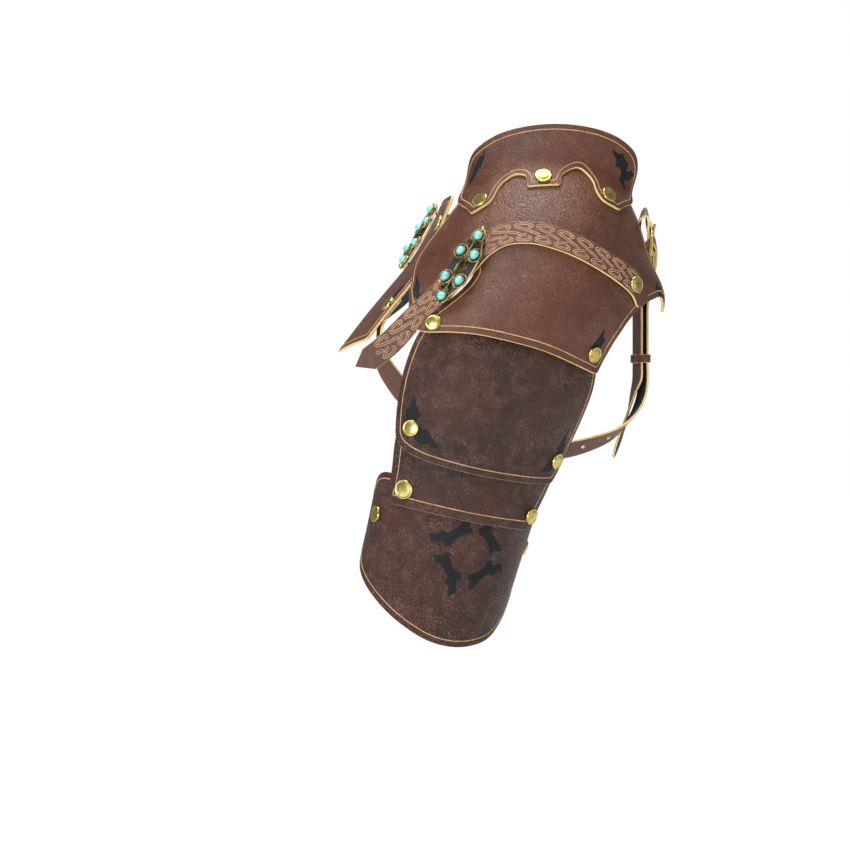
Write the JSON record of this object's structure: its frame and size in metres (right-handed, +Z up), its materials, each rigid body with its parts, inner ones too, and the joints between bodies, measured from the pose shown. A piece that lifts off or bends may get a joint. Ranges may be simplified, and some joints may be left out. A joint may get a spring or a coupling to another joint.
{
  "type": "shoulder armour",
  "caption": "Leather shoulder armour with collar, shoulder cap, articulated arm lames, chest plate, clasps and buckled straps.",
  "frame": {"origin": "top of the wearer's left shoulder, where the cap rests", "axes": "+Z up, +X towards the wearer's back, +Y towards the wearer's right side"},
  "size_m": [0.2752, 0.3748, 0.4281],
  "materials": {
    "plate_leather": "semi-gloss pebbled",
    "lame_leather": "semi-gloss pebbled",
    "strap_leather": "semi-gloss",
    "rivet_brass": "polished",
    "buckle_brass": "satin",
    "antique_brass": "antique",
    "turquoise": "polished"
  },
  "bodies": {
    "root": {"shoulder_cap": "plate_leather", "neck_collar": "plate_leather", "chest_plate": "plate_leather", "knotwork_strip": "strap_leather", "chest_bridge": "strap_leather", "near_leaf": "plate_leather", "far_leaf": "plate_leather", "underarm_strap": "strap_leather", "cross_strap": "strap_leather", "back_strap": "strap_leather", "back_chape": "strap_leather", "ring_chape": "strap_leather", "underarm_keeper": "strap_leather", "collar_rivets": "rivet_brass", "cap_pivot_rivets": "rivet_brass", "strip_rivets": "rivet_brass", "chest_rivets": "rivet_brass", "bridge_rivets": "rivet_brass", "back_chape_rivet": "rivet_brass", "back_strap_rivets": "rivet_brass", "ring_chape_rivet": "rivet_brass", "underarm_ring": "buckle_brass", "near_clasp_eye": "antique_brass", "near_clasp_hook": "antique_brass", "far_clasp_eye": "antique_brass", "far_clasp_hook": "antique_brass", "near_clasp_stones": "turquoise", "far_clasp_stones": "turquoise"},
    "upper_lame": {"upper_lame": "lame_leather", "upper_pivot_rivets": "rivet_brass"},
    "middle_lame": {"middle_lame": "lame_leather", "middle_pivot_rivets": "rivet_brass"},
    "lower_cuff": {"lower_cuff": "lame_leather", "arm_strap": "strap_leather", "arm_rear_strap": "strap_leather", "arm_strap_rivets": "rivet_brass", "arm_chape": "strap_leather", "arm_chape_rivet": "rivet_brass"},
    "back_buckle": {"back_buckle_frame": "buckle_brass"},
    "back_prong": {"back_buckle_prong": "buckle_brass"},
    "arm_buckle": {"arm_buckle_frame": "buckle_brass"},
    "arm_prong": {"arm_buckle_prong": "buckle_brass"}
  },
  "joints": [
    {"name": "upper_lame_swing", "type": "hinge", "parent": "root", "child": "upper_lame", "pos_m": [-0.08901, -0.09281, -0.11415], "axis": [-0.9694, -0.2056, 0.1339], "range_deg": [0, 7]},
    {"name": "middle_lame_swing", "type": "hinge", "parent": "upper_lame", "child": "middle_lame", "pos_m": [-0.10681, -0.08438, -0.19448], "axis": [-0.9373, -0.2789, 0.209], "range_deg": [0, 7]},
    {"name": "lower_cuff_swing", "type": "hinge", "parent": "middle_lame", "child": "lower_cuff", "pos_m": [-0.11119, -0.07021, -0.24331], "axis": [-0.9543, -0.2094, 0.2134], "range_deg": [0, 7]},
    {"name": "back_buckle_tilt", "type": "hinge", "parent": "root", "child": "back_buckle", "pos_m": [0.0905, 0.005, -0.044], "axis": [0, 0.866, 0.5], "range_deg": [0, 4]},
    {"name": "back_prong_lift", "type": "hinge", "parent": "back_buckle", "child": "back_prong", "pos_m": [0.0905, 0.005, -0.044], "axis": [0, 0.866, 0.5], "range_deg": [0, 5]},
    {"name": "arm_buckle_tilt", "type": "hinge", "parent": "lower_cuff", "child": "arm_buckle", "pos_m": [-0.062, 0.0325, -0.2832], "axis": [-0.2311, -0.0222, -0.9727], "range_deg": [0, 4]},
    {"name": "arm_prong_lift", "type": "hinge", "parent": "arm_buckle", "child": "arm_prong", "pos_m": [-0.062, 0.0325, -0.2832], "axis": [-0.2311, -0.0222, -0.9727], "range_deg": [0, 5]}
  ]
}
